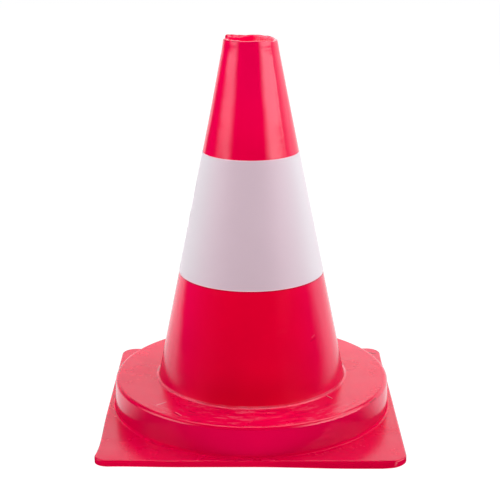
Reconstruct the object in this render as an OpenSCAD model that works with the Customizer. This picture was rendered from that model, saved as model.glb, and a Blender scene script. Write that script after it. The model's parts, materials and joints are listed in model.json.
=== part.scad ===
// Traffic cone: a hollow tapered body stands up through a round plinth on a square foot.
// A white collar wraps the body, and a ballast ring snaps in under the plinth.
// Millimetres, +Z up, origin at the centre of the underside.

/* [Cone body] */
// Height of the tip above the ground
cone_h = 300; // [260:5:340]
// Outside radius at the open tip
tip_r = 20; // [18:0.2:24]
// Outside radius where the cone meets the top of the plinth
foot_r = 75.4; // [68:0.2:76]
// Wall thickness, measured level
wall = 2; // [1.6:0.1:2.6]
// Length of the straight socket at the tip
mouth_len = 8; // [6:1:12]
// Wall thickness around the straight socket
mouth_wall = 2.5; // [2.2:0.1:3]

/* [Base] */
// Side of the square foot
base_w = 233; // [226:1:260]
// Thickness of the square foot
base_t = 5; // [4:0.5:6]
// Corner radius of the square foot
corner_r = 12; // [8:1:20]
// Height of the top of the plinth above the ground
plinth_h = 29; // [28:1:36]
// Gap between the plinth's rim and the side of the square foot
plinth_inset = 6; // [3:0.5:8]
// Thickness of the plinth's side wall
plinth_wall = 3; // [2.5:0.5:3.5]
// Thickness of the deck on top of the plinth
deck_t = 3; // [2.5:0.5:3.5]
// Rounding of the plinth's rim
rim_round = 3.2; // [1:0.2:4]
// Fillet between the plinth's side and the square foot
foot_fillet = 2; // [1:0.5:6]
// Number of snap hooks that hold the ballast ring
hook_count = 6; // [3:1:8]

/* [White band] */
// Height of the band's lower edge
band_z = 117; // [90:1:130]
// Width of the band along the slope
band_w = 99; // [60:1:110]
// Thickness of the band's sheet
band_t = 0.45; // [0.35:0.05:0.6]
// Length of the overlap where the sheet's ends meet, at the back
lap_len = 10; // [6:1:16]

/* [Ballast ring] */
// Height of the ring
ring_h = 17; // [12:1:17]

/* [Hidden] */
$fn = 128;
eps = 0.01;

// Steps along each small arc of an outline
arc_steps = 8;
// Play between pieces that rest on or slide into each other
play = 0.1;

// Cone
taper = (foot_r - tip_r) / (cone_h - plinth_h);
slope = atan(taper);
mouth_r = tip_r - mouth_wall;
shoulder_h = 3;
shoulder_z = cone_h - mouth_len - shoulder_h;
skirt_w = 10;
skirt_t = 2.5;
deck_z = plinth_h - deck_t;
skirt_top = deck_z - play;
skirt_bottom = skirt_top - skirt_t;

// Base
half_w = base_w / 2;
plinth_r = half_w - plinth_inset;
plinth_draft = 2;
plinth_foot_r = plinth_r + (plinth_h - base_t) * tan(plinth_draft);
cavity_r = plinth_r - plinth_wall;
hole_r = foot_r + 2 * play;
bead_r = 0.9;
edge_round = 1.2;
cavity_fillet = 2;
// The fillet runs this far into the foot plate, so that the two surfaces cross
fillet_sink = 0.1;

// Grip grooves under the corners of the foot
groove_w = 1.6;
groove_depth = 1;
groove_pitch = 6;
groove_inner_r = half_w + 6.5;
groove_outer_r = half_w * sqrt(2) - 12;
groove_edge = 5;

// Band
recess = 0.3;
band_top = band_z + band_w * cos(slope);
lap_angle = lap_len / cone_r(band_z) * 180 / PI;

// Ballast ring
ring_top = skirt_bottom - play;
ring_bottom = ring_top - ring_h;
ring_in_r = hole_r + 2.2;
ring_out_r = cavity_r - 1;
ring_chamfer = 1.5;
pocket_count = 12;
pocket_r = 7;
pocket_depth = 6;

// Snap hooks
hook_reach = 3;
hook_h = 3;
hook_angle = 14;

// Outside radius of the cone at height z
function cone_r(z) = tip_r + taper * (cone_h - z);

// Points along an arc in the radius-height plane
function arc(cr, cz, r, a0, a1) = [
    for (i = [0:arc_steps])
        let (a = a0 + (a1 - a0) * i / arc_steps)
        [cr + r * cos(a), cz + r * sin(a)]
];

// Half section of the cone body, from the tip down the outside and back up the inside
function cone_section() = [
    [tip_r, cone_h],
    [cone_r(band_top), band_top],
    [cone_r(band_top) - recess, band_top],
    [cone_r(band_z) - recess, band_z],
    [cone_r(band_z), band_z],
    [foot_r, plinth_h],
    [foot_r, skirt_top],
    [foot_r + skirt_w, skirt_top],
    [foot_r + skirt_w, skirt_bottom],
    [foot_r - wall, skirt_bottom],
    [foot_r - wall, plinth_h],
    [cone_r(shoulder_z) - wall, shoulder_z],
    [mouth_r, cone_h - mouth_len],
    [mouth_r, cone_h]
];

// Half section of the plinth, from the bead round the hole out over the rim and down the side
function plinth_section() = concat(
    [[hole_r, deck_z]],
    arc(hole_r + bead_r, plinth_h, bead_r, 180, 0),
    arc(plinth_r - rim_round, plinth_h - rim_round, rim_round, 90, 0),
    arc(plinth_foot_r + foot_fillet, base_t + foot_fillet - fillet_sink, foot_fillet, 180, 270),
    [
        [plinth_foot_r + foot_fillet, 0],
        [cavity_r, 0]
    ],
    arc(cavity_r - cavity_fillet, deck_z - cavity_fillet, cavity_fillet, 0, 90)
);

// Square outline with round corners
module rounded_square(half, r) {
    square([2 * half, 2 * (half - r)], center = true);
    square([2 * (half - r), 2 * half], center = true);
    for (sx = [-1, 1], sy = [-1, 1])
        translate([sx * (half - r), sy * (half - r)])
            circle(r);
}

// Upright square block with round corners
module rounded_block(half, r, h) {
    linear_extrude(h)
        rounded_square(half, r);
}

// Section of the foot plate from its middle to its side, with the upper edge rounded
module plate_section(width) {
    polygon(concat(
        [[0, 0], [width, 0]],
        arc(width - edge_round, base_t - edge_round, edge_round, 0, 90),
        [[0, base_t]]
    ));
}

// Square foot plate: a slab to each side and a quarter turn at each corner
module foot_plate() {
    straight = 2 * (half_w - corner_r);
    for (side = [0:3])
        rotate([0, 0, 90 * side]) {
            rotate([90, 0, 0])
                linear_extrude(straight, center = true)
                    plate_section(half_w);
            translate([half_w - corner_r, half_w - corner_r, 0])
                rotate_extrude(angle = 90)
                    plate_section(corner_r);
        }
}

// Arc-shaped grooves under the four corners that grip the ground
module grip_grooves() {
    intersection() {
        for (r = [groove_inner_r:groove_pitch:groove_outer_r])
            translate([0, 0, -eps])
                difference() {
                    cylinder(r = r + groove_w / 2, h = groove_depth + eps);
                    translate([0, 0, -eps])
                        cylinder(r = r - groove_w / 2, h = groove_depth + 3 * eps);
                }
        translate([0, 0, -1])
            rounded_block(half_w - groove_edge, corner_r - groove_edge / 2, groove_depth + 2);
    }
}

// Hooks on the plinth's inside wall that snap under the ballast ring
module snap_hooks() {
    hook_top = ring_bottom - play;
    for (i = [0:hook_count - 1])
        rotate([0, 0, 360 * i / hook_count - hook_angle / 2])
            rotate_extrude(angle = hook_angle)
                polygon([
                    [cavity_r + 1, hook_top],
                    [cavity_r - hook_reach, hook_top],
                    [cavity_r - hook_reach, hook_top - 1],
                    [cavity_r + 1, hook_top - hook_h]
                ]);
}

module cone_body() {
    color("crimson")
        rotate_extrude()
            polygon(cone_section());
}

module base() {
    color("crimson") {
        difference() {
            foot_plate();
            translate([0, 0, -1])
                cylinder(r = cavity_r + plinth_wall / 2, h = base_t + 2);
            grip_grooves();
        }
        intersection() {
            rotate_extrude()
                polygon(plinth_section());
            rounded_block(half_w, corner_r, 2 * plinth_h);
        }
        snap_hooks();
    }
}

module white_band() {
    color("whitesmoke") {
        rotate_extrude()
            band_section(0);
        rotate([0, 0, 90 - lap_angle / 2])
            rotate_extrude(angle = lap_angle)
                band_section(band_t - eps);
    }
}

// Half section of the band's sheet, lifted off the cone by lift
module band_section(lift) {
    sheet_in = eps - recess + lift;
    sheet_out = sheet_in + band_t;
    trim = 2 * eps;
    polygon([
        [cone_r(band_z + trim) + sheet_in, band_z + trim],
        [cone_r(band_z + trim) + sheet_out, band_z + trim],
        [cone_r(band_top - trim) + sheet_out, band_top - trim],
        [cone_r(band_top - trim) + sheet_in, band_top - trim]
    ]);
}

module ballast_ring() {
    color("dimgray")
        difference() {
            rotate_extrude()
                polygon([
                    [ring_in_r, ring_bottom + ring_chamfer],
                    [ring_in_r + ring_chamfer, ring_bottom],
                    [ring_out_r - ring_chamfer, ring_bottom],
                    [ring_out_r, ring_bottom + ring_chamfer],
                    [ring_out_r, ring_top - ring_chamfer],
                    [ring_out_r - ring_chamfer, ring_top],
                    [ring_in_r, ring_top]
                ]);
            for (i = [0:pocket_count - 1])
                rotate([0, 0, 360 * (i + 0.5) / pocket_count])
                    translate([(ring_in_r + ring_out_r) / 2, 0, ring_bottom - eps])
                        cylinder(r = pocket_r, h = pocket_depth + eps);
        }
}

cone_body();
base();
white_band();
ballast_ring();
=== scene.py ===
"""Looks of the traffic cone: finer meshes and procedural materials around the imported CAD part.

Metres, +Z up, the ground at Z = 0. The camera stands on the -Y side.
Angles round the cone start at +X and turn towards +Y, so the back is at 90 degrees.
"""

import json
import math
from types import SimpleNamespace

import bmesh
import bpy
import numpy as np
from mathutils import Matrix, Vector, noise


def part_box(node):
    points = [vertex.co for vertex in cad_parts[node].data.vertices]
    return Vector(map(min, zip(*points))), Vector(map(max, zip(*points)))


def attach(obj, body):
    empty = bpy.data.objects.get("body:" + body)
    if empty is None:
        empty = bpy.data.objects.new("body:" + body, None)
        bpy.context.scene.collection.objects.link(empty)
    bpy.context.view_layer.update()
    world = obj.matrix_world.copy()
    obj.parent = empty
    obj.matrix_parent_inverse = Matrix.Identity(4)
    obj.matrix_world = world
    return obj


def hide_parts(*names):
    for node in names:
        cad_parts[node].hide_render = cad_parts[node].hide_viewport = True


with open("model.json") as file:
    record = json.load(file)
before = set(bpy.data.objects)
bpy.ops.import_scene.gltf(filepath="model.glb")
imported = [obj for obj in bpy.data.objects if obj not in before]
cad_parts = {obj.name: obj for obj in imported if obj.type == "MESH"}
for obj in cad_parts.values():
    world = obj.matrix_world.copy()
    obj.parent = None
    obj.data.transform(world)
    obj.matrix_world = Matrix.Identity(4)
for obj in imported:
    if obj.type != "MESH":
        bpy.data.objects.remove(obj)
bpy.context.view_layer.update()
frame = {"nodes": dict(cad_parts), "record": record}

MM = 0.001
TAU = 2 * math.pi
HALF_TURN = math.pi
QUARTER_TURN = math.pi / 2

# ---------------------------------------------------------------- sizes

CONE_LOW, CONE_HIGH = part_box("cone_body")
BASE_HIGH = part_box("base")[1]
BAND_LOW, BAND_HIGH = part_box("white_band")

SOCKET = next(m for m in frame["record"]["mounts"] if m["name"] == "top_socket")
MOUTH_R = SOCKET["dims"]["r_mm"] * MM
MOUTH_LEN = SOCKET["dims"]["length_mm"] * MM

# Cone body
CONE_H = CONE_HIGH.z
TIP_R = MOUTH_R + 2.5 * MM
WALL = 2.0 * MM
SKIRT_R = CONE_HIGH.x
SKIRT_W = 10 * MM
SKIRT_T = 2.5 * MM
SKIRT_BOTTOM = CONE_LOW.z
SKIRT_TOP = SKIRT_BOTTOM + SKIRT_T
FOOT_R = SKIRT_R - SKIRT_W
SHOULDER_H = 3.0 * MM
RECESS = 0.3 * MM

# Bead round the cone's foot. It slopes down from the cone and rolls over near its end:
# shares of its width and height
BEAD_H = 0.9 * MM
BEAD_W = 2.4 * MM
BEAD_PROFILE = [
    (0.06, 0.96),
    (0.13, 1.0),
    (0.22, 0.97),
    (0.4, 0.79),
    (0.58, 0.58),
    (0.7, 0.42),
    (0.82, 0.22),
    (0.95, 0.04),
]
PLINTH_H = BASE_HIGH.z - BEAD_H
BEAD_TOP = BASE_HIGH.z
TAPER = (FOOT_R - TIP_R) / (CONE_H - PLINTH_H)

# White band
BAND_BOTTOM = BAND_LOW.z
BAND_TOP = BAND_HIGH.z
BAND_T = 0.45 * MM
LAP_LEN = 10.0 * MM

# Painted shade darkens the cone from its foot up to this height
SHADED_FOOT_TOP = 110 * MM

# Base
HALF_W = BASE_HIGH.x
BASE_T = 5.0 * MM
CORNER_R = 12.0 * MM
EDGE_ROUND = 1.2 * MM
DECK_T = 3.0 * MM
DECK_Z = PLINTH_H - DECK_T
PLINTH_R = HALF_W - 6 * MM
PLINTH_WALL = 3.0 * MM
PLINTH_DRAFT = 2.0
PLINTH_FOOT_R = PLINTH_R + (PLINTH_H - BASE_T) * math.tan(math.radians(PLINTH_DRAFT))
CAVITY_R = PLINTH_R - PLINTH_WALL
CAVITY_FILLET = 2.0 * MM
RIM_ROUND = 3.2 * MM
FOOT_FILLET = 2.0 * MM
FILLET_TOP = BASE_T + FOOT_FILLET
SOLE_ROUND = 0.4 * MM
HOLE_R = FOOT_R + 0.05 * MM
HOLE_ROUND = 0.3 * MM


def cone_r(z):
    """Outside radius of the cone at height z."""
    return TIP_R + TAPER * (CONE_H - z)


# ---------------------------------------------------------------- mesh tools


def arc(cr, cz, r, start, end, steps):
    """Points on an arc in the radius-height plane; angles in degrees."""
    angles = np.radians(np.linspace(start, end, steps + 1))
    return [(cr + r * math.cos(a), cz + r * math.sin(a)) for a in angles]


def rounded(corners, steps):
    """A closed outline of (radius, height, rounding) corners, each corner turned into a curve."""
    points = []
    count = len(corners)
    for i, (r, z, radius) in enumerate(corners):
        here = np.array((r, z))
        before = np.array(corners[i - 1][:2]) - here
        after = np.array(corners[(i + 1) % count][:2]) - here
        reach = min(radius, np.linalg.norm(before) / 2.1, np.linalg.norm(after) / 2.1)
        if reach <= 0:
            points.append((r, z))
            continue
        start = here + before / np.linalg.norm(before) * reach
        end = here + after / np.linalg.norm(after) * reach
        for t in np.linspace(0, 1, steps + 1):
            p = (1 - t) ** 2 * start + 2 * t * (1 - t) * here + t * t * end
            points.append(tuple(p))
    return points


def densify(points, longest):
    """The same closed outline with no step longer than longest."""
    result = []
    for a, b in zip(points, points[1:] + points[:1]):
        count = max(1, math.ceil(math.dist(a, b) / longest))
        for i in range(count):
            t = i / count
            result.append((a[0] + (b[0] - a[0]) * t, a[1] + (b[1] - a[1]) * t))
    return result


def smoothstep(low, high, x):
    """0 at low, 1 at high and a smooth step between them."""
    t = np.clip((x - low) / (high - low), 0, 1)
    return t * t * (3 - 2 * t)


def hill(value, centre, width):
    """A smooth hill of height 1 round centre."""
    return np.exp(-(((value - centre) / width) ** 2))


def turned_from(theta, centre):
    """Signed angle from centre to theta, between minus and plus half a turn."""
    return (theta - centre + HALF_TURN) % TAU - HALF_TURN


def grid_mesh(name, co, close_columns=True):
    """A mesh from points co[row, column]; the rows form a ring. Points that coincide are merged."""
    rows, columns = co.shape[:2]
    verts = co.reshape(-1, 3)
    faces = []
    for i in range(rows):
        for j in range(columns if close_columns else columns - 1):
            a, b = i * columns, ((i + 1) % rows) * columns
            k = (j + 1) % columns
            faces.append((a + j, a + k, b + k, b + j))
    if not close_columns:
        faces.append(tuple(i * columns for i in range(rows)))
        faces.append(tuple(i * columns + columns - 1 for i in reversed(range(rows))))
    mesh = bpy.data.meshes.new(name)
    mesh.from_pydata(verts.tolist(), [], faces)
    bm = bmesh.new()
    bm.from_mesh(mesh)
    bmesh.ops.remove_doubles(bm, verts=bm.verts, dist=0.001 * MM)
    bmesh.ops.dissolve_degenerate(bm, edges=bm.edges, dist=0.0005 * MM)
    bmesh.ops.recalc_face_normals(bm, faces=bm.faces)
    bm.to_mesh(mesh)
    bm.free()
    mesh.shade_smooth()
    mesh.set_sharp_from_angle(angle=math.radians(40))
    mesh.update()
    return mesh


def add_piece(name, mesh, node, material):
    """Puts a finished mesh in the scene in place of a CAD node."""
    obj = bpy.data.objects.new(name, mesh)
    bpy.context.scene.collection.objects.link(obj)
    obj.data.materials.append(material)
    normals = obj.modifiers.new("weighted_normals", "WEIGHTED_NORMAL")
    normals.keep_sharp = True
    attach(obj, "root")
    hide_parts(node)


def revolve(section, angles, shape):
    """Grid of points: the outline turned round Z, with shape(angle, r, z) to move the points."""
    r = np.array([p[0] for p in section])[:, None] + 0 * angles[None, :]
    z = np.array([p[1] for p in section])[:, None] + 0 * angles[None, :]
    theta = 0 * r + angles[None, :]
    r, z = shape(theta, r, z)
    return np.stack([r * np.cos(theta), r * np.sin(theta), z], axis=-1)


# ---------------------------------------------------------------- cone body


def cone_section():
    """Outline of the wall, from the tip down the outside and back up the inside."""
    lip = 0.9 * MM
    crisp = 0.05 * MM
    soft = 0.5 * MM
    shoulder = CONE_H - MOUTH_LEN - SHOULDER_H
    corners = [(TIP_R, CONE_H, lip)]
    # Close rows under the tip, for the fine ripples there
    for z in np.arange(CONE_H - 3 * MM, CONE_H - 24 * MM, -0.6 * MM):
        corners.append((cone_r(z), z, 0))
    corners += [
        (cone_r(BAND_TOP), BAND_TOP, crisp),
        (cone_r(BAND_TOP) - RECESS, BAND_TOP, crisp),
        (cone_r(BAND_BOTTOM) - RECESS, BAND_BOTTOM, crisp),
        (cone_r(BAND_BOTTOM), BAND_BOTTOM, crisp),
        (FOOT_R, PLINTH_H, 0),
        (FOOT_R, SKIRT_TOP, 0.2 * MM),
        (SKIRT_R, SKIRT_TOP, soft),
        (SKIRT_R, SKIRT_BOTTOM, soft),
        (FOOT_R - WALL, SKIRT_BOTTOM, soft),
        (FOOT_R - WALL, PLINTH_H, soft),
        (cone_r(shoulder) - WALL, shoulder, 2 * soft),
        (MOUTH_R, CONE_H - MOUTH_LEN, 2 * soft),
        (MOUTH_R, CONE_H, lip),
    ]
    return densify(rounded(corners, 6), 4 * MM)


def behind_step(turn):
    """1 up to the step in the cut at the left, 0 past it; turn in degrees."""
    return 1 - smoothstep(157, 161, turn)


def cut_height(theta):
    """How far the hand-trimmed tip stands above a level cut: highest at the back left, with a step."""
    turn = np.degrees(theta) % 360
    ripple = 0.1 * np.sin(5 * theta + 0.7) + 0.1 * np.sin(9 * theta + 2.0) + 0.07 * np.sin(17 * theta)
    back = 0.85 * smoothstep(20, 50, turn) + 0.55 * smoothstep(105, 130, turn)
    corner = 0.9 * smoothstep(118, 150, turn)
    front = 0.85 * smoothstep(162, 185, turn) * (1 - smoothstep(285, 335, turn))
    right = 0.5 * hill((turn + 180) % 360, 180, 24)
    return (ripple + (back + corner) * behind_step(turn) + front - right) * MM


def shape_cone(theta, r, z):
    """Moulding and trimming faults: a rough cut at the tip and a wall that isn't quite round."""
    outside = smoothstep(TIP_R - 1.4 * MM, TIP_R - 0.6 * MM, r)

    # The wall waves slightly, bulges to the left near the tip and flares to a lip
    above = smoothstep(PLINTH_H + 10 * MM, CONE_H, z)
    wave = 0.12 * MM * above * np.sin(3 * theta + z / (40 * MM))
    left_half = np.clip(-np.cos(theta), 0, 1)
    bulge = 0.55 * MM * left_half * smoothstep(CONE_H - 60 * MM, CONE_H - 10 * MM, z)
    lip = 0.32 * MM * smoothstep(CONE_H - 11 * MM, CONE_H - 0.5 * MM, z) * outside

    # Fine level ripples under the tip, at the front right
    zone = smoothstep(CONE_H - 20 * MM, CONE_H - 14 * MM, z) * smoothstep(CONE_H, CONE_H - 6 * MM, z)
    facing = hill(turned_from(theta, math.radians(305)), 0, 0.5)
    ripples = 0.01 * MM * np.sin(z / (0.42 * MM) + 2 * theta) * zone * facing * outside

    # The cut slopes down to the inside from the right round to the back
    near_tip = smoothstep(CONE_H - 5 * MM, CONE_H - 1 * MM, z)
    turn = np.degrees(theta) % 360
    bevel = 0.5 * smoothstep(5, 40, turn) + 0.9 * smoothstep(90, 120, turn)
    bevel = bevel * behind_step(turn) * (1 - outside) * MM
    return r + wave + bulge + lip + ripples, z + near_tip * (cut_height(theta) - bevel)


def make_cone(material):
    angles = np.linspace(0, TAU, 360, endpoint=False)
    mesh = grid_mesh("cone_shell", revolve(cone_section(), angles, shape_cone))
    add_piece("cone_shell", mesh, "cone_body", material)


# ---------------------------------------------------------------- base

# Snap hooks under the ballast ring
HOOKS = 6
HOOK_REACH = 3.0 * MM
HOOK_H = 3.0 * MM
HOOK_HALF = math.radians(7)
RING_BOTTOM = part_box("ballast_ring")[0].z
HOOK_TOP = RING_BOTTOM - 0.1 * MM

# Grip grooves under the corners
GROOVE_W = 1.6 * MM
GROOVE_DEPTH = 1.0 * MM
GROOVE_SLOPE = 0.15 * MM
GROOVE_PITCH = 6.0 * MM
GROOVE_INNER_R = HALF_W + 6.5 * MM
GROOVE_OUTER_R = HALF_W * math.sqrt(2) - 12 * MM
GROOVE_EDGE = 5.0 * MM

# Sink marks over the feet, one in each quarter of the foot plate
SINK_X = 73.5 * MM
SINK_Y = 102.8 * MM
SINK_DEPTH = 0.5 * MM
SINK_R = 2.2 * MM


def outline_r(theta, half, corner):
    """Radius of a rounded square of half width half at angle theta."""
    fold = np.abs((theta + QUARTER_TURN / 2) % QUARTER_TURN - QUARTER_TURN / 2)
    flat = half / np.cos(fold)
    centre = (half - corner) * math.sqrt(2)
    off = QUARTER_TURN / 2 - fold
    inside = np.clip(corner**2 - (centre * np.sin(off)) ** 2, 0, None)
    curved = centre * np.cos(off) + np.sqrt(inside)
    in_corner = half * np.tan(fold) > half - corner
    return np.where(in_corner, curved, flat)


def base_angles():
    """Angles for the base's columns: even along the sides, closer at the corners and hooks."""
    straight = HALF_W - CORNER_R
    side = [math.atan2(y, HALF_W) for y in np.linspace(-straight, straight, 79)]
    corner_start = math.atan2(straight, HALF_W)
    corner = np.linspace(corner_start, QUARTER_TURN - corner_start, 30)[1:-1]
    quarter = np.array(side + list(corner))
    angles = np.concatenate([quarter + i * QUARTER_TURN for i in range(4)]) % TAU
    edge = math.radians(0.15)
    hooks = [
        (TAU * i / HOOKS + s * (HOOK_HALF + d)) % TAU
        for i in range(HOOKS)
        for s in (-1, 1)
        for d in (0, edge)
    ]
    angles = np.sort(np.concatenate([angles, hooks]))
    keep = np.diff(angles, append=angles[0] + TAU) > math.radians(0.02)
    return angles[keep]


def top_rows(row):
    """From the hole in the deck over the bead and the deck to the top of the plinth's side."""
    for r, z in arc(HOLE_R + HOLE_ROUND, DECK_Z + HOLE_ROUND, HOLE_ROUND, 270, 180, 3):
        row(r, z)
    row(HOLE_R, PLINTH_H)
    lean = cone_r(PLINTH_H + 0.9 * BEAD_H) + 0.01 * MM
    row(lean, PLINTH_H + 0.85 * BEAD_H)
    for out, up in BEAD_PROFILE:
        row(lean + out * BEAD_W, PLINTH_H + up * BEAD_H)
    for r in np.linspace(lean + BEAD_W + 0.3 * MM, PLINTH_R - RIM_ROUND, 48):
        row(r, PLINTH_H)
    rim = arc(PLINTH_R - RIM_ROUND, PLINTH_H - RIM_ROUND, RIM_ROUND, 90, PLINTH_DRAFT, 12)
    for r, z in rim[1:]:
        row(r, z)


def side_rows(row):
    """Down the plinth's sloping side to the top of the fillet."""
    wall_top = PLINTH_H - RIM_ROUND
    for t in np.linspace(0, 1, 8)[1:-1]:
        z = wall_top + (FILLET_TOP - wall_top) * t
        row(PLINTH_R + (PLINTH_FOOT_R - PLINTH_R) * t, z)


def plate_rows(row, theta, edge):
    """Through the fillet, across the foot plate and round its edge. The plate cuts the fillet short."""
    plate_end = outline_r(theta, HALF_W - EDGE_ROUND, CORNER_R - EDGE_ROUND)
    centre = PLINTH_FOOT_R + FOOT_FILLET
    fillet_end = np.minimum(centre, plate_end - 0.3 * MM)
    last = np.arcsin((centre - fillet_end) / FOOT_FILLET)
    for t in np.linspace(0, 1, 13):
        a = QUARTER_TURN * (1 - t) + last * t
        height = FILLET_TOP - FOOT_FILLET * np.cos(a)
        row(centre - FOOT_FILLET * np.sin(a), height)
    for t in np.linspace(0, 1, 31)[1:]:
        row(fillet_end + (plate_end - fillet_end) * t, height + (BASE_T - height) * t)
    for a in np.radians(np.linspace(90, 0, 7))[1:]:
        out = plate_end + (edge - plate_end) * math.cos(a)
        row(out, BASE_T - EDGE_ROUND + EDGE_ROUND * math.sin(a))
    row(edge, 0.3 * BASE_T)
    for a in np.radians(np.linspace(0, -90, 4)):
        row(edge - SOLE_ROUND + SOLE_ROUND * math.cos(a), SOLE_ROUND + SOLE_ROUND * math.sin(a))


def sole_rows(row, theta, edge):
    """Across the underside, through the grip grooves, to the edge of the cavity."""
    inset = outline_r(theta, HALF_W - GROOVE_EDGE, CORNER_R - GROOVE_EDGE / 2)
    limit = edge - SOLE_ROUND
    half = GROOVE_W / 2
    for ring in np.arange(GROOVE_INNER_R, GROOVE_OUTER_R, GROOVE_PITCH)[::-1]:
        cut = (ring + half < inset) * GROOVE_DEPTH
        row(np.minimum(ring + half, limit), 0)
        row(np.minimum(ring + half - GROOVE_SLOPE, limit), cut)
        row(np.minimum(ring - half + GROOVE_SLOPE, limit), cut)
        row(np.minimum(ring - half, limit), 0)
    for r, z in arc(CAVITY_R + SOLE_ROUND, SOLE_ROUND, SOLE_ROUND, 270, 180, 3):
        row(r, z)


def cavity_rows(row, theta):
    """Up the inside of the plinth past the snap hooks, and inwards under the deck."""
    to_hook = [np.abs(turned_from(theta, TAU * i / HOOKS)) for i in range(HOOKS)]
    on_hook = np.min(to_hook, axis=0) <= HOOK_HALF + 1e-6
    out = on_hook * HOOK_REACH
    row(CAVITY_R, HOOK_TOP - HOOK_H)
    row(CAVITY_R - out, HOOK_TOP - 1.2 * MM)
    row(CAVITY_R - out, HOOK_TOP - 0.2 * MM)
    row(CAVITY_R - np.maximum(out - 0.2 * MM, 0), HOOK_TOP)
    row(CAVITY_R, HOOK_TOP)
    for z in np.linspace(HOOK_TOP, DECK_Z - CAVITY_FILLET, 5)[1:-1]:
        row(CAVITY_R, z)
    for r, z in arc(CAVITY_R - CAVITY_FILLET, DECK_Z - CAVITY_FILLET, CAVITY_FILLET, 0, 90, 6):
        row(r, z)
    for r in np.linspace(CAVITY_R - CAVITY_FILLET, HOLE_R + HOLE_ROUND, 6)[1:-1]:
        row(r, DECK_Z)


def base_rows(theta):
    """Rows of (radius, height) for every column, as a closed ring round the base's section."""
    zero = 0 * theta
    rows = []

    def row(r, z):
        rows.append((r + zero, z + zero))

    edge = outline_r(theta, HALF_W, CORNER_R)
    top_rows(row)
    side_rows(row)
    plate_rows(row, theta, edge)
    sole_rows(row, theta, edge)
    cavity_rows(row, theta)
    return rows


def deck_marks(x, y):
    """Height of the flow marks: short ridges that run round the cone, strongest on the front."""
    r = np.hypot(x, y)
    turn = np.arctan2(y, x)
    height = np.zeros_like(x)
    for i in np.ndindex(x.shape):
        along = Vector((turn[i] * 4.5, r[i] / (3.2 * MM), 0.0))
        height[i] = noise.fractal(along, 0.8, 2.0, 3)
    front = smoothstep(-45 * MM, -80 * MM, y)
    return 0.1 * MM * height * (0.03 + 0.97 * front)


def shape_base(x, y, z):
    """Moulding faults: flow marks on the deck, sinks over the feet and a slightly warped foot."""
    on_deck = (np.abs(z - PLINTH_H) < 0.01 * MM) & (np.hypot(x, y) > HOLE_R + BEAD_W)
    z = z + np.where(on_deck, deck_marks(x, y), 0)
    on_plate = (z > BASE_T - 0.2 * MM) & (z < BASE_T + 1 * MM)
    for sx in (-1, 1):
        for sy in (-1, 1):
            d = np.hypot(x - sx * SINK_X, y - sy * SINK_Y)
            z = z - on_plate * SINK_DEPTH * hill(d, 0, SINK_R)

    foot = 1 - smoothstep(BASE_T + 1 * MM, BASE_T + 4 * MM, z)
    left = foot * smoothstep(-0.9 * PLINTH_R, -HALF_W, x)
    right = foot * smoothstep(0.9 * PLINTH_R, HALF_W, x)
    front = foot * smoothstep(-0.97 * PLINTH_R, -HALF_W, y)
    low = 1 - smoothstep(1 * MM, 4.5 * MM, z)
    # The left side bows in, the right side stands a little inside, the front swells near the ground
    bow = 1.1 * MM * left * hill(y, -82 * MM, 30 * MM)
    tuck = 0.7 * MM * right + 0.6 * MM * right * hill(y, 85 * MM, 25 * MM)
    swell = 3 * MM * front * low * smoothstep(0, 80 * MM, x) * (1 - smoothstep(95 * MM, HALF_W, x))
    # The front left corner is lifted and drawn out to a small ear
    lift = 0.8 * MM * foot * smoothstep(-50 * MM, -110 * MM, x) * smoothstep(-50 * MM, -110 * MM, y)
    ear = foot * hill(x, -HALF_W, 12 * MM) * hill(y, -HALF_W, 12 * MM)
    return x + bow - tuck - 2.2 * MM * ear, y - swell - 0.8 * MM * ear, z + lift


def make_base(material):
    theta = base_angles()
    rows = base_rows(theta)
    r = np.array([row[0] for row in rows])
    z = np.array([row[1] for row in rows])
    x, y, z = shape_base(r * np.cos(theta), r * np.sin(theta), z)
    mesh = grid_mesh("foot_and_plinth", np.stack([x, y, z], axis=-1))
    add_piece("foot_and_plinth", mesh, "base", material)


# ---------------------------------------------------------------- white band


def make_band(material):
    """A sheet wrapped once round the cone; its end lies over its start at the back."""
    lap = LAP_LEN / cone_r(BAND_BOTTOM)
    angle_start = QUARTER_TURN - lap / 2
    turns = np.concatenate([
        np.linspace(0, TAU - 2.5 * lap, 300),
        np.linspace(TAU - 2.5 * lap, TAU + lap, 60)[1:],
    ])
    lift = (BAND_T + 0.03 * MM) * smoothstep(TAU - 1.6 * lap, TAU - 0.1 * lap, turns)
    lean = np.array((1.0, TAPER)) / math.hypot(1, TAPER)
    inner = 0.02 * MM - RECESS
    outer = inner + BAND_T
    corners = [
        (cone_r(BAND_BOTTOM) + inner, BAND_BOTTOM, 0.05 * MM),
        (cone_r(BAND_BOTTOM) + outer, BAND_BOTTOM, 0.18 * MM),
        (cone_r(BAND_TOP) + outer, BAND_TOP, 0.18 * MM),
        (cone_r(BAND_TOP) + inner, BAND_TOP, 0.05 * MM),
    ]
    angle = angle_start + turns
    rows = []
    for r, z in densify(rounded(corners, 4), 6 * MM):
        radius = r + lift * lean[0]
        height = z + lift * lean[1]
        rows.append(np.stack([radius * np.cos(angle), radius * np.sin(angle), height], axis=-1))
    mesh = grid_mesh("collar_sheet", np.array(rows), close_columns=False)
    add_piece("collar_sheet", mesh, "white_band", material)


# ---------------------------------------------------------------- materials


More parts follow.
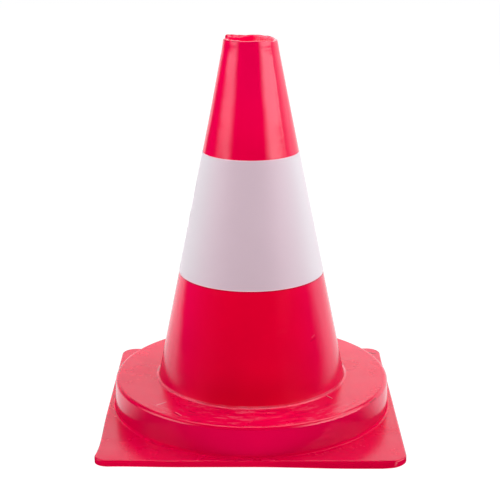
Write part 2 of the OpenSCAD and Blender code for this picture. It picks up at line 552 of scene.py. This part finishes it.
class Nodes:
    """A small helper that writes node trees as calls."""

    def __init__(self, tree):
        self.tree = tree
        self.tree.nodes.clear()

    def add(self, kind, inputs=None, **settings):
        node = self.tree.nodes.new(kind)
        for key, value in settings.items():
            setattr(node, key, value)
        for key, value in (inputs or {}).items():
            self.put(node.inputs[key], value)
        return node

    def put(self, socket, value):
        if isinstance(value, bpy.types.NodeSocket):
            self.tree.links.new(value, socket)
        elif isinstance(value, bpy.types.Node):
            self.tree.links.new(value.outputs[0], socket)
        else:
            socket.default_value = value

    def math(self, operation, a, b=0.0):
        node = self.add("ShaderNodeMath", operation=operation)
        self.put(node.inputs[0], a)
        self.put(node.inputs[1], b)
        return node.outputs[0]

    def product(self, *values):
        result = values[0]
        for value in values[1:]:
            result = self.math("MULTIPLY", result, value)
        return result

    def total(self, *values):
        result = values[0]
        for value in values[1:]:
            result = self.math("ADD", result, value)
        return result

    def length(self, a, b):
        """Length of the vector (a, b)."""
        return self.math("SQRT", self.total(self.product(a, a), self.product(b, b)))

    def ramp(self, value, low, high, out_low=0.0, out_high=1.0):
        """out_low below low, out_high above high, and a smooth step between them."""
        node = self.add("ShaderNodeMapRange", interpolation_type="SMOOTHSTEP")
        for key, item in (("Value", value), ("From Min", low), ("From Max", high)):
            self.put(node.inputs[key], item)
        node.inputs["To Min"].default_value = out_low
        node.inputs["To Max"].default_value = out_high
        return node.outputs[0]

    def mix(self, factor, a, b, blend="MIX"):
        """The colour a, or b where factor is 1."""
        node = self.add("ShaderNodeMix", data_type="RGBA", blend_type=blend)
        self.put(node.inputs[0], factor)
        self.put(node.inputs[6], a)
        self.put(node.inputs[7], b)
        return node.outputs[2]

    def choose(self, factor, a, b):
        """The number a, or b where factor is 1."""
        return self.add("ShaderNodeMix", {0: factor, 2: a, 3: b}).outputs[0]

    def window(self, value, low, high, soft):
        """1 between low and high and 0 outside, with each end spread by soft to either side."""
        rise = self.ramp(value, low - soft, low + soft)
        fall = self.ramp(value, high - soft, high + soft)
        return self.math("SUBTRACT", rise, fall)

    def strip(self, value, low, high):
        """1 between low[1] and high[0], fading to 0 at low[0] and at high[1]."""
        return self.product(self.ramp(value, *low), self.ramp(value, *high, 1.0, 0.0))

    def noise(self, vector, scale, detail=2.0, roughness=0.5):
        node = self.add("ShaderNodeTexNoise", {"Scale": scale, "Detail": detail, "Roughness": roughness})
        self.put(node.inputs["Vector"], vector)
        return node.outputs["Fac"]

    def edge_on(self, high):
        """1 where the surface is seen edge-on, 0 where it faces the viewer."""
        return self.ramp(self.add("ShaderNodeLayerWeight", {"Blend": 0.5}).outputs["Facing"], 0.0, high)

    def near_line(self, place, start, end, width):
        """1 on the line between two points, fading to 0 at width from it."""
        start = Vector(start)
        along = Vector(end) - start
        inputs = {0: place, 1: start}
        offset = self.add("ShaderNodeVectorMath", inputs, operation="SUBTRACT")
        inputs = {0: offset, 1: along / along.length_squared}
        share = self.add("ShaderNodeVectorMath", inputs, operation="DOT_PRODUCT").outputs["Value"]
        share = self.add("ShaderNodeClamp", {0: share})
        foot = self.add("ShaderNodeVectorMath", {0: along, "Scale": share}, operation="SCALE")
        inputs = {0: offset, 1: foot}
        gap = self.add("ShaderNodeVectorMath", inputs, operation="DISTANCE").outputs["Value"]
        return self.ramp(gap, 0.3 * width, width, 1.0, 0.0)

    def bump(self, height, strength=1.0):
        """A normal for the height in metres."""
        return self.add("ShaderNodeBump", {"Strength": strength, "Distance": 1.0, "Height": height})

    def finish(self, inputs):
        """Ends the tree with a principled shader."""
        shader = self.add("ShaderNodeBsdfPrincipled", inputs)
        self.add("ShaderNodeOutputMaterial", {"Surface": shader})


def new_material(name):
    material = bpy.data.materials.new(name)
    material.use_nodes = True
    return material, Nodes(material.node_tree)


BLACK = (0.0, 0.0, 0.0, 1)
WHITE = (1.0, 1.0, 1.0, 1)
# Pale paint for wear and for painted highlights, pale paint for streaks, and dark paint for marks
PALE_WEAR_AND_HIGHLIGHT = (1.0, 0.4, 0.5, 1)
PALE_STREAK = (1.0, 0.5, 0.58, 1)
DARK_MARK = (0.2, 0.0, 0.01, 1)

# Marks: scratches, scuffs, dark lines and spots, and a painted glint on the cone's rim: ends of a line in
# millimetres, its width, and how light (+) or dark (-) it is
BASE_MARKS = [
    ((-72.5, -67.9, 29), (-66.0, -62.2, 29), 0.9, 0.5),
    ((58.3, -50.9, 29), (61.9, -55.8, 29), 0.7, -0.6),
    ((59.3, -50.6, 29), (62.9, -55.5, 29), 0.6, 0.6),
    ((-58.6, -82.2, 29), (-53.7, -88.7, 29), 0.9, -0.5),
    ((-57.4, -81.6, 29), (-52.7, -87.7, 29), 0.7, 0.4),
    ((-47.4, -79.4, 29), (-42.6, -83.2, 29), 0.8, -0.4),
    # A dark spot on the foot plate behind the plinth, at the back right corner
    ((106.5, 104.5, 5), (110.5, 102.5, 5), 1.6, -0.8),
    ((92.0, -60.5, 27.5), (97.0, -52.0, 27.5), 1.0, -0.5),
]
CONE_MARKS = [
    # A painted glint: a white spot on the front left of the cut rim
    ((-13.9, -13.2, 300.8), (-9.4, -16.8, 300.8), 1.3, 0.95),
    # Dark lines along the back of the cut rim
    ((-8.2, 17.6, 301.0), (3.3, 19.1, 300.9), 1.2, -0.45),
    ((12.4, 14.8, 300.9), (13.8, 13.4, 300.8), 1.2, -0.6),
    ((15.7, 11.4, 300.6), (16.8, 9.7, 300.4), 1.1, -0.5),
    ((14.9, -15.9, 290), (15.0, -16.6, 284), 0.35, -0.6),
    ((15.0, -16.6, 284), (16.0, -16.4, 279), 0.35, -0.6),
    ((46.3, -47.5, 73.5), (49.5, -43.7, 74.6), 1.0, -0.2),
    ((46.9, -45.9, 76.0), (49.0, -43.7, 77.0), 0.9, 0.12),
]


def add_marks(n, place, tone, marks):
    """The tone with the marks drawn on it."""
    for start, end, width, light in marks:
        line = n.near_line(place, [v * MM for v in start], [v * MM for v in end], width * MM)
        paint = PALE_WEAR_AND_HIGHLIGHT if light > 0 else DARK_MARK
        tone = n.mix(n.product(line, abs(light)), tone, paint)
    return tone


def find_place(n):
    """Where a point of the surface is: its coordinates, its distance from the axis and its angle."""
    point = n.add("ShaderNodeTexCoord").outputs["Object"]
    x, y, z = n.add("ShaderNodeSeparateXYZ", {0: point}).outputs
    normal = n.add("ShaderNodeNewGeometry").outputs["Normal"]
    up = n.add("ShaderNodeSeparateXYZ", {0: normal}).outputs[2]
    return SimpleNamespace(
        point=point,
        x=x,
        y=y,
        z=z,
        radius=n.length(x, y),
        turn=n.math("ARCTAN2", y, x),
        level=n.ramp(up, 0.9, 0.99),
    )


def pvc_tone(n, at, colour, painted_sheen_blue, painted_foot_shade):
    """Red with a painted pink sheen edge-on and towards the tip, in faint patches, and painted shade on
    the cone's foot, the foot plate and the plinth's side.
    """
    sheen_pink = (colour[0], 0.0, painted_sheen_blue, 1)
    # Painted sheen: the red gains blue edge-on and towards the tip
    tone = n.mix(n.math("MAXIMUM", n.edge_on(0.5), n.ramp(at.z, 0.1, CONE_H)), colour, sheen_pink)
    patches = n.ramp(n.noise(at.point, 14.0, 2.0), 0.35, 0.7, 1.0, 0.0)
    tone = n.mix(patches, tone, (0.9, 0.9, 0.9, 1), "MULTIPLY")
    # Painted shade: the foot plate is darker, its edge and underside darker still
    foot_side_shade = n.ramp(at.z, BASE_T - 2 * MM, BASE_T - 0.8 * MM, 0.9, 1.0)
    plate = n.ramp(at.z, BASE_T + 0.5 * MM, BASE_T + 3 * MM, 0.94, 1.0)
    # Painted shade: the cone is darker towards its foot
    foot_shade_ramp = n.ramp(at.z, PLINTH_H, SHADED_FOOT_TOP, painted_foot_shade, 1.0)
    tone = n.mix(n.product(foot_shade_ramp, foot_side_shade, plate), BLACK, tone)
    # Painted shade: the plinth's side is darker and more magenta
    plinth_side_shade = n.strip(
        at.z,
        (BASE_T + 0.5 * MM, BASE_T + 3 * MM),
        (PLINTH_H - 3 * MM, PLINTH_H - 1 * MM),
    )
    return n.mix(n.product(plinth_side_shade, 0.6), tone, (0.8, 0.0, 0.08, 1))


def painted_band_shadow(n, at, tone):
    """A painted shadow: a dark line just below the band."""
    line = n.product(
        n.ramp(at.z, BAND_BOTTOM - 1.0 * MM, BAND_BOTTOM - 0.6 * MM, 0.0, 0.5),
        n.ramp(at.z, BAND_BOTTOM + 1 * MM, BAND_BOTTOM + 2 * MM, 1.0, 0.0),
    )
    return n.mix(line, tone, (0.25, 0.0, 0.02, 1))


def flow_streaks(n, at):
    """A pattern drawn out round the cone, and where it shows: the front of the deck."""
    around = n.product(at.turn, 0.03)
    polar = n.add("ShaderNodeCombineXYZ", {0: around, 1: at.radius, 2: at.z})
    flow = n.noise(polar, 260.0, 3.0, 0.6)
    above = n.ramp(at.z, PLINTH_H - 1 * MM, PLINTH_H - 0.5 * MM)
    front = n.ramp(at.y, -80 * MM, -55 * MM, 1.0, 0.0)
    return flow, n.product(above, front, at.level)


def paint_bead_highlight(n, at, tone, soft):
    """A painted highlight: the bead and the lowest strip of the cone above it are painted pale, here more
    and there less.
    """
    bead_highlight = n.strip(
        at.z,
        (PLINTH_H + 0.2 * MM, PLINTH_H + 0.5 * MM),
        (BEAD_TOP + 0.6 * MM, BEAD_TOP + 1.2 * MM),
    )
    return n.mix(n.product(bead_highlight, n.ramp(soft, 0.35, 0.6, 0.06, 0.26)), tone, PALE_WEAR_AND_HIGHLIGHT)


def inner_wall(n, at):
    """1 on the inside of the cone's wall, 0 on its outside and on the base."""
    to_axis = n.total(at.radius, n.product(at.z, TAPER))
    inside = n.ramp(to_axis, cone_r(0) - 1.2 * MM, cone_r(0) - 0.6 * MM, 1.0, 0.0)
    return n.product(inside, n.ramp(at.z, PLINTH_H, PLINTH_H + 5 * MM))


def streak_tip_inside(n, at, tone, inside):
    """The inside of the tip has pale streaks on the right."""
    drawn_out = n.add("ShaderNodeCombineXYZ", {0: n.product(at.turn, 0.02), 1: at.z})
    streaked = n.product(
        n.ramp(n.noise(drawn_out, 700.0, 2.0), 0.3, 0.6, 0.1, 0.45),
        n.ramp(at.x, 1 * MM, 7 * MM),
        inside,
        n.ramp(at.z, CONE_H - 7 * MM, CONE_H - 3 * MM),
    )
    return n.mix(streaked, tone, PALE_STREAK)


def pvc_roughness(n, at, steep, flat, painted_foot_shade):
    """Smeared gloss: steep walls shine more than level ones, and the cone's foot is duller."""
    smear = n.noise(at.point, 30.0, 4.0, 0.6)
    dull_foot = n.ramp(at.z, PLINTH_H, 85 * MM, 1.5 * (1 - painted_foot_shade), 0.0)
    steep_rough = n.total(n.ramp(smear, 0.3, 0.75, *steep), dull_foot)
    return n.choose(at.level, steep_rough, n.ramp(smear, 0.3, 0.75, *flat))


def plinth_corner(n, at):
    """1 in the inner corner round the plinth's foot, which collects dirt and stays dull."""
    low = n.strip(
        at.z,
        (BASE_T + 0.1 * MM, BASE_T + 0.5 * MM),
        (BASE_T + 1.6 * MM, BASE_T + 2.4 * MM),
    )
    near = n.ramp(at.radius, PLINTH_FOOT_R + 1.4 * MM, PLINTH_FOOT_R + 2.4 * MM, 1.0, 0.0)
    return n.product(low, near)


def red_pvc(name, colour, painted_sheen_blue, painted_foot_shade, streak_height, steep, flat, marks):
    """Glossy flexible PVC.

    painted_sheen_blue is the blue of the painted sheen edge-on and at the tip, painted_foot_shade the
    brightness of the painted shade at the cone's foot, which also dulls it, and streak_height the depth
    of the flow streaks on the deck. steep and flat are the roughness ranges of steep and of level walls,
    from clean to smeared.
    """
    material, n = new_material(name)
    at = find_place(n)
    fine = n.noise(at.point, 900.0, 2.0)
    soft = n.noise(at.point, 48.0, 3.0)
    flow, on_deck = flow_streaks(n, at)
    inside = inner_wall(n, at)
    corner = plinth_corner(n, at)

    tone = pvc_tone(n, at, colour, painted_sheen_blue, painted_foot_shade)
    tone = painted_band_shadow(n, at, tone)
    # Pale and dark streaks along the flow marks on the front of the deck
    tone = n.mix(n.product(n.ramp(flow, 0.52, 0.7, 0.0, 0.16), on_deck), tone, PALE_WEAR_AND_HIGHLIGHT)
    tone = n.mix(n.product(n.ramp(flow, 0.3, 0.46, 0.32, 0.0), on_deck), tone, (0.3, 0.0, 0.03, 1))
    tone = paint_bead_highlight(n, at, tone, soft)
    tone = add_marks(n, at.point, tone, marks)
    tone = streak_tip_inside(n, at, tone, inside)

    height = n.total(n.product(soft, 0.3 * MM), n.product(fine, 0.004 * MM))
    height = n.total(height, n.product(flow, on_deck, streak_height))
    roughness = pvc_roughness(n, at, steep, flat, painted_foot_shade)
    # Painted light: the inside of the wall glows, most of all near the tip, in place of light coming
    # through the thin wall
    painted_glow = n.ramp(at.z, 100 * MM, CONE_H - 30 * MM, 0.06, 0.3)
    n.finish({
        "Base Color": tone,
        "Roughness": n.choose(corner, roughness, 0.6),
        "Specular IOR Level": n.choose(corner, 0.5, 0.1),
        "IOR": 1.5,
        "Normal": n.bump(height),
        "Emission Color": (1.0, 0.0, 0.06, 1),
        "Emission Strength": n.product(inside, painted_glow),
    })
    return material


def white_sheet():
    """Satin white sheeting: faintly pink, with a painted sheen that whitens it edge-on and a pink line
    along both borders.
    """
    material, n = new_material("white_sheet")
    place = n.add("ShaderNodeTexCoord").outputs["Object"]
    z = n.add("ShaderNodeSeparateXYZ", {0: place}).outputs[2]
    patches = n.noise(place, 20.0, 3.0)
    pink = n.mix(patches, (0.69, 0.52, 0.6, 1), (0.73, 0.555, 0.64, 1))
    # Painted sheen: the sheet turns whiter edge-on
    tone = n.mix(n.edge_on(0.6), pink, (0.8, 0.73, 0.785, 1))
    border = 0.6 * MM
    top = n.ramp(z, BAND_TOP - 1.4 * border, BAND_TOP - border)
    bottom = n.ramp(z, BAND_BOTTOM + border, BAND_BOTTOM + 1.4 * border, 1.0, 0.0)
    tone = n.mix(n.math("MAXIMUM", top, bottom), tone, (0.88, 0.62, 0.72, 1))
    grain = n.product(n.noise(place, 1400.0, 2.0), 0.01 * MM)
    wave = n.product(n.noise(place, 25.0, 1.0), 0.2 * MM)
    n.finish({
        "Base Color": tone,
        "Roughness": 0.42,
        "IOR": 1.5,
        "Normal": n.bump(n.total(grain, wave)),
    })
    return material


def recycled_rubber():
    """Dark granulated rubber for the ballast ring."""
    material, n = new_material("recycled_rubber")
    place = n.add("ShaderNodeTexCoord").outputs["Object"]
    cells = n.add("ShaderNodeTexVoronoi", {"Vector": place, "Scale": 420.0}).outputs["Distance"]
    tone = n.mix(cells, (0.015, 0.015, 0.016, 1), (0.05, 0.05, 0.052, 1))
    height = n.product(cells, 0.4 * MM)
    n.finish({"Base Color": tone, "Roughness": 0.8, "Normal": n.bump(height, 0.8)})
    return material


# ---------------------------------------------------------------- stage


def bearing(n, across, along):
    """Angle in degrees of the direction with these two components, 0 along the second."""
    return n.product(n.math("ARCTAN2", across, along), 180 / math.pi)


def without_diffuse(n, level):
    """The level as reflections see it, and 0 for diffuse surfaces, which the lamps light."""
    diffuse = n.add("ShaderNodeLightPath").outputs["Diffuse Depth"]
    return n.product(level, n.ramp(diffuse, 0.0, 1.0, 1.0, 0.0))


def make_world():
    """A white room to the camera. Reflections show it dark behind the camera, with a soft box on
    either side, a pale backdrop and a ceiling window. Diffuse surfaces get their light from the
    lamps alone.

    Azimuth 0 is towards the camera, positive to the right, and 180 is behind the cone.
    """
    world = bpy.data.worlds.new("studio")
    bpy.context.scene.world = world
    world.cycles.sampling_method = "NONE"
    world.use_nodes = True
    n = Nodes(world.node_tree)
    direction = n.add("ShaderNodeTexCoord").outputs["Generated"]
    x, y, z = n.add("ShaderNodeSeparateXYZ", {0: direction}).outputs
    to_camera = n.product(y, -1.0)
    azimuth = bearing(n, x, to_camera)
    elevation = n.product(n.math("ARCSINE", z), 180 / math.pi)

    def soft_box(level, low, high, soft):
        shape = n.product(n.window(azimuth, low, high, soft), n.window(elevation, -5.0, 40.0, 5.0))
        return n.product(shape, level, n.ramp(elevation, 2.5, 8.0))

    backdrop = n.total(
        n.ramp(azimuth, -165.0, -120.0, 1.1, 0.0),
        n.ramp(azimuth, 76.0, 130.0, 0.0, 1.35),
    )
    backdrop = n.product(backdrop, n.ramp(elevation, 26.0, 35.0, 1.0, 0.12))
    right_box = soft_box(4.2, 44.0, 92.0, 12.0)
    left_box = soft_box(2.8, -98.0, -54.0, 11.0)
    over = bearing(n, z, to_camera)
    overhead = n.product(n.window(over, 94.0, 124.0, 5.0), n.ramp(x, -0.5, -0.1, 0.0, 2.4))
    glossy = n.total(backdrop, right_box, left_box, overhead)

    path = n.add("ShaderNodeLightPath").outputs
    again = n.ramp(path["Glossy Depth"], 1.0, 2.0, 1.0, 0.33)
    light = without_diffuse(n, n.product(glossy, again))
    strength = n.choose(path["Is Camera Ray"], light, 1.0)
    shader = n.add("ShaderNodeBackground", {"Color": WHITE, "Strength": strength})
    n.add("ShaderNodeOutputWorld", {"Surface": shader})


def floor_reflection(n):
    """How bright the floor looks in reflections: dark in front and to the far left, pale behind."""
    place = n.add("ShaderNodeTexCoord").outputs["Object"]
    x, y, _ = n.add("ShaderNodeSeparateXYZ", {0: place}).outputs
    behind = n.math("DIVIDE", y, n.total(n.math("ABSOLUTE", x), 30 * MM))
    behind = n.math("SUBTRACT", behind, n.ramp(n.length(x, y), 0.15, 0.5, 0.0, 0.42))
    behind = n.math("SUBTRACT", behind, n.ramp(x, -1.5, -0.3, 0.9, 0.0))
    return n.ramp(behind, -0.42, 0.0, 0.02, 1.0)


def make_floor():
    """A pale floor: white to the camera, shaded in reflections, open from below."""
    size = 30.0
    drop = 0.3 * MM
    mesh = bpy.data.meshes.new("floor")
    corners = [(-size, -size, -drop), (size, -size, -drop), (size, size, -drop), (-size, size, -drop)]
    mesh.from_pydata(corners, [], [(0, 1, 2, 3)])
    floor = bpy.data.objects.new("floor", mesh)
    bpy.context.scene.collection.objects.link(floor)
    material, n = new_material("floor")
    material.cycles.emission_sampling = "NONE"
    to_camera = n.add("ShaderNodeLightPath").outputs["Is Camera Ray"]
    level = n.choose(to_camera, without_diffuse(n, floor_reflection(n)), 1.0)
    glow = n.add("ShaderNodeEmission", {"Color": WHITE, "Strength": level})
    paint = n.add("ShaderNodeBsdfDiffuse", {"Color": n.choose(to_camera, 0.0, 0.1)})
    front = n.add("ShaderNodeAddShader", {0: glow.outputs[0], 1: paint.outputs[0]})
    clear = n.add("ShaderNodeBsdfTransparent")
    underside = n.add("ShaderNodeNewGeometry").outputs["Backfacing"]
    both = n.add("ShaderNodeMixShader", {0: underside, 1: front.outputs[0], 2: clear.outputs[0]})
    n.add("ShaderNodeOutputMaterial", {"Surface": both})
    mesh.materials.append(material)
    floor.visible_shadow = False


MID_CONE = (0, 0, 0.12)
GROUND = (0, 0, 0)


def hang(name, data, azimuth, elevation, distance, target):
    """Hangs a lamp round the target. It lights diffuse surfaces only; reflections show the room."""
    lamp = bpy.data.objects.new(name, data)
    az, el = math.radians(azimuth), math.radians(elevation)
    aim = Vector((math.sin(az) * math.cos(el), -math.cos(az) * math.cos(el), math.sin(el)))
    lamp.location = Vector(target) + distance * aim
    lamp.rotation_euler = (-aim).to_track_quat("-Z", "Y").to_euler()
    lamp.visible_glossy = False
    lamp.visible_camera = False
    data.cycles.use_multiple_importance_sampling = False
    bpy.context.scene.collection.objects.link(lamp)


def disc(name, level, size, azimuth, elevation, distance, target=MID_CONE):
    """A round soft lamp whose face has the brightness level."""
    data = bpy.data.lights.new(name, "AREA")
    data.shape = "DISK"
    data.size = size
    data.energy = level * math.pi * math.pi * size * size / 4
    hang(name, data, azimuth, elevation, distance, target)


def spot(name, energy, angle, azimuth, elevation, distance, target):
    """A spot with a wholly soft edge."""
    data = bpy.data.lights.new(name, "SPOT")
    data.spot_size = math.radians(angle)
    data.spot_blend = 1.0
    data.shadow_soft_size = 0.1
    data.energy = energy
    hang(name, data, azimuth, elevation, distance, target)


def make_lights():
    """A ring of soft lamps, stronger at the back right, a ceiling, a floor, two side lamps and a spot."""
    for azimuth in range(-135, 225, 45):
        right = smoothstep(20, 100, azimuth) * smoothstep(200, 130, azimuth)
        disc("ring_lamp", 1.1 + 0.33 * right, 1.3, azimuth, 20, 1.6)
    disc("ceiling", 0.8, 2.2, 0, 90, 1.6)
    disc("floor_glow", 1.45, 4.0, 0, -90, 0.5, GROUND)
    disc("left_lamp", 5.4, 0.4, -108, 48, 0.95)
    disc("right_lamp", 4.9, 0.4, 108, 48, 0.95)
    spot("tip_lamp", 2.3, 36, 0, 18, 0.8, (0, 0, CONE_H + 30 * MM))


def make_camera():
    """A long lens in front of the cone, a little above its tip, looking slightly down."""
    distance = 988 * MM
    height = 427.5 * MM
    pitch = math.radians(16.6)
    azimuth = math.radians(0.14)
    roll = math.radians(0.155)
    sideways = -0.1 * MM
    data = bpy.data.cameras.new("camera")
    data.lens = 93.25
    data.sensor_width = 36.0
    camera = bpy.data.objects.new("camera", data)
    camera.location = (
        distance * math.sin(azimuth) + sideways * math.cos(azimuth),
        -distance * math.cos(azimuth) + sideways * math.sin(azimuth),
        height,
    )
    camera.rotation_euler = (QUARTER_TURN - pitch, roll, azimuth)
    bpy.context.scene.collection.objects.link(camera)
    bpy.context.scene.camera = camera


# ---------------------------------------------------------------- scene

bpy.context.scene.view_settings.view_transform = "Standard"

make_cone(red_pvc(
    "cone_red",
    (0.98, 0.0, 0.036, 1),
    painted_sheen_blue=0.082,
    painted_foot_shade=0.93,
    streak_height=0.0,
    steep=(0.09, 0.14),
    flat=(0.15, 0.2),
    marks=CONE_MARKS,
))
make_base(red_pvc(
    "base_red",
    (0.95, 0.0, 0.054, 1),
    painted_sheen_blue=0.07,
    painted_foot_shade=1.0,
    streak_height=0.08 * MM,
    steep=(0.11, 0.17),
    flat=(0.22, 0.3),
    marks=BASE_MARKS,
))
make_band(white_sheet())

ring = frame["nodes"]["ballast_ring"]
ring.data.materials.clear()
ring.data.materials.append(recycled_rubber())

make_world()
make_floor()
make_lights()
make_camera()
